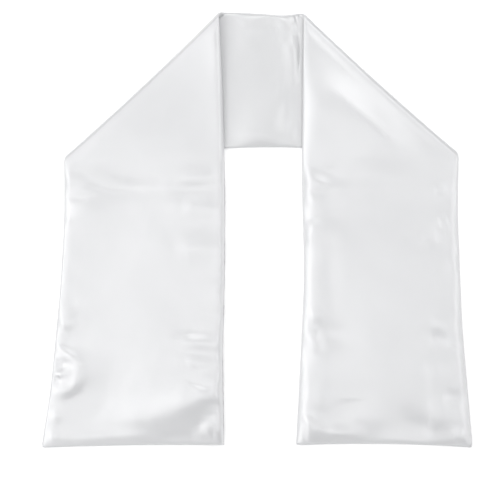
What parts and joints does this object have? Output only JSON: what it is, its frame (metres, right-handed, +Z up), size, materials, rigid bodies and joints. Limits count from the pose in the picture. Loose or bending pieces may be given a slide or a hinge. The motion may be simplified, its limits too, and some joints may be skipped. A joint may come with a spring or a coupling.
{
  "type": "baptismal stole",
  "caption": "Lined satin band, folded over at each shoulder so that its broad ends hang side by side below the neck. Worn round an infant's neck at a baptism. Laid flat.",
  "frame": {"origin": "on the table, under the middle of the outline's box", "axes": "+Z up from the table, +Y from the hems towards the neck band, +X to the right as the stole is seen with its neck band at the top"},
  "size_m": [0.3024, 0.3057, 0.0084],
  "materials": {
    "satin_face": "white satin, bright side out",
    "satin_lining": "white satin, a little duller"
  },
  "bodies": {
    "root": {"left_arm_face": "satin_face", "left_arm_lining": "satin_lining", "right_arm_face": "satin_face", "right_arm_lining": "satin_lining", "neck_face": "satin_face", "neck_lining": "satin_lining"}
  },
  "joints": []
}
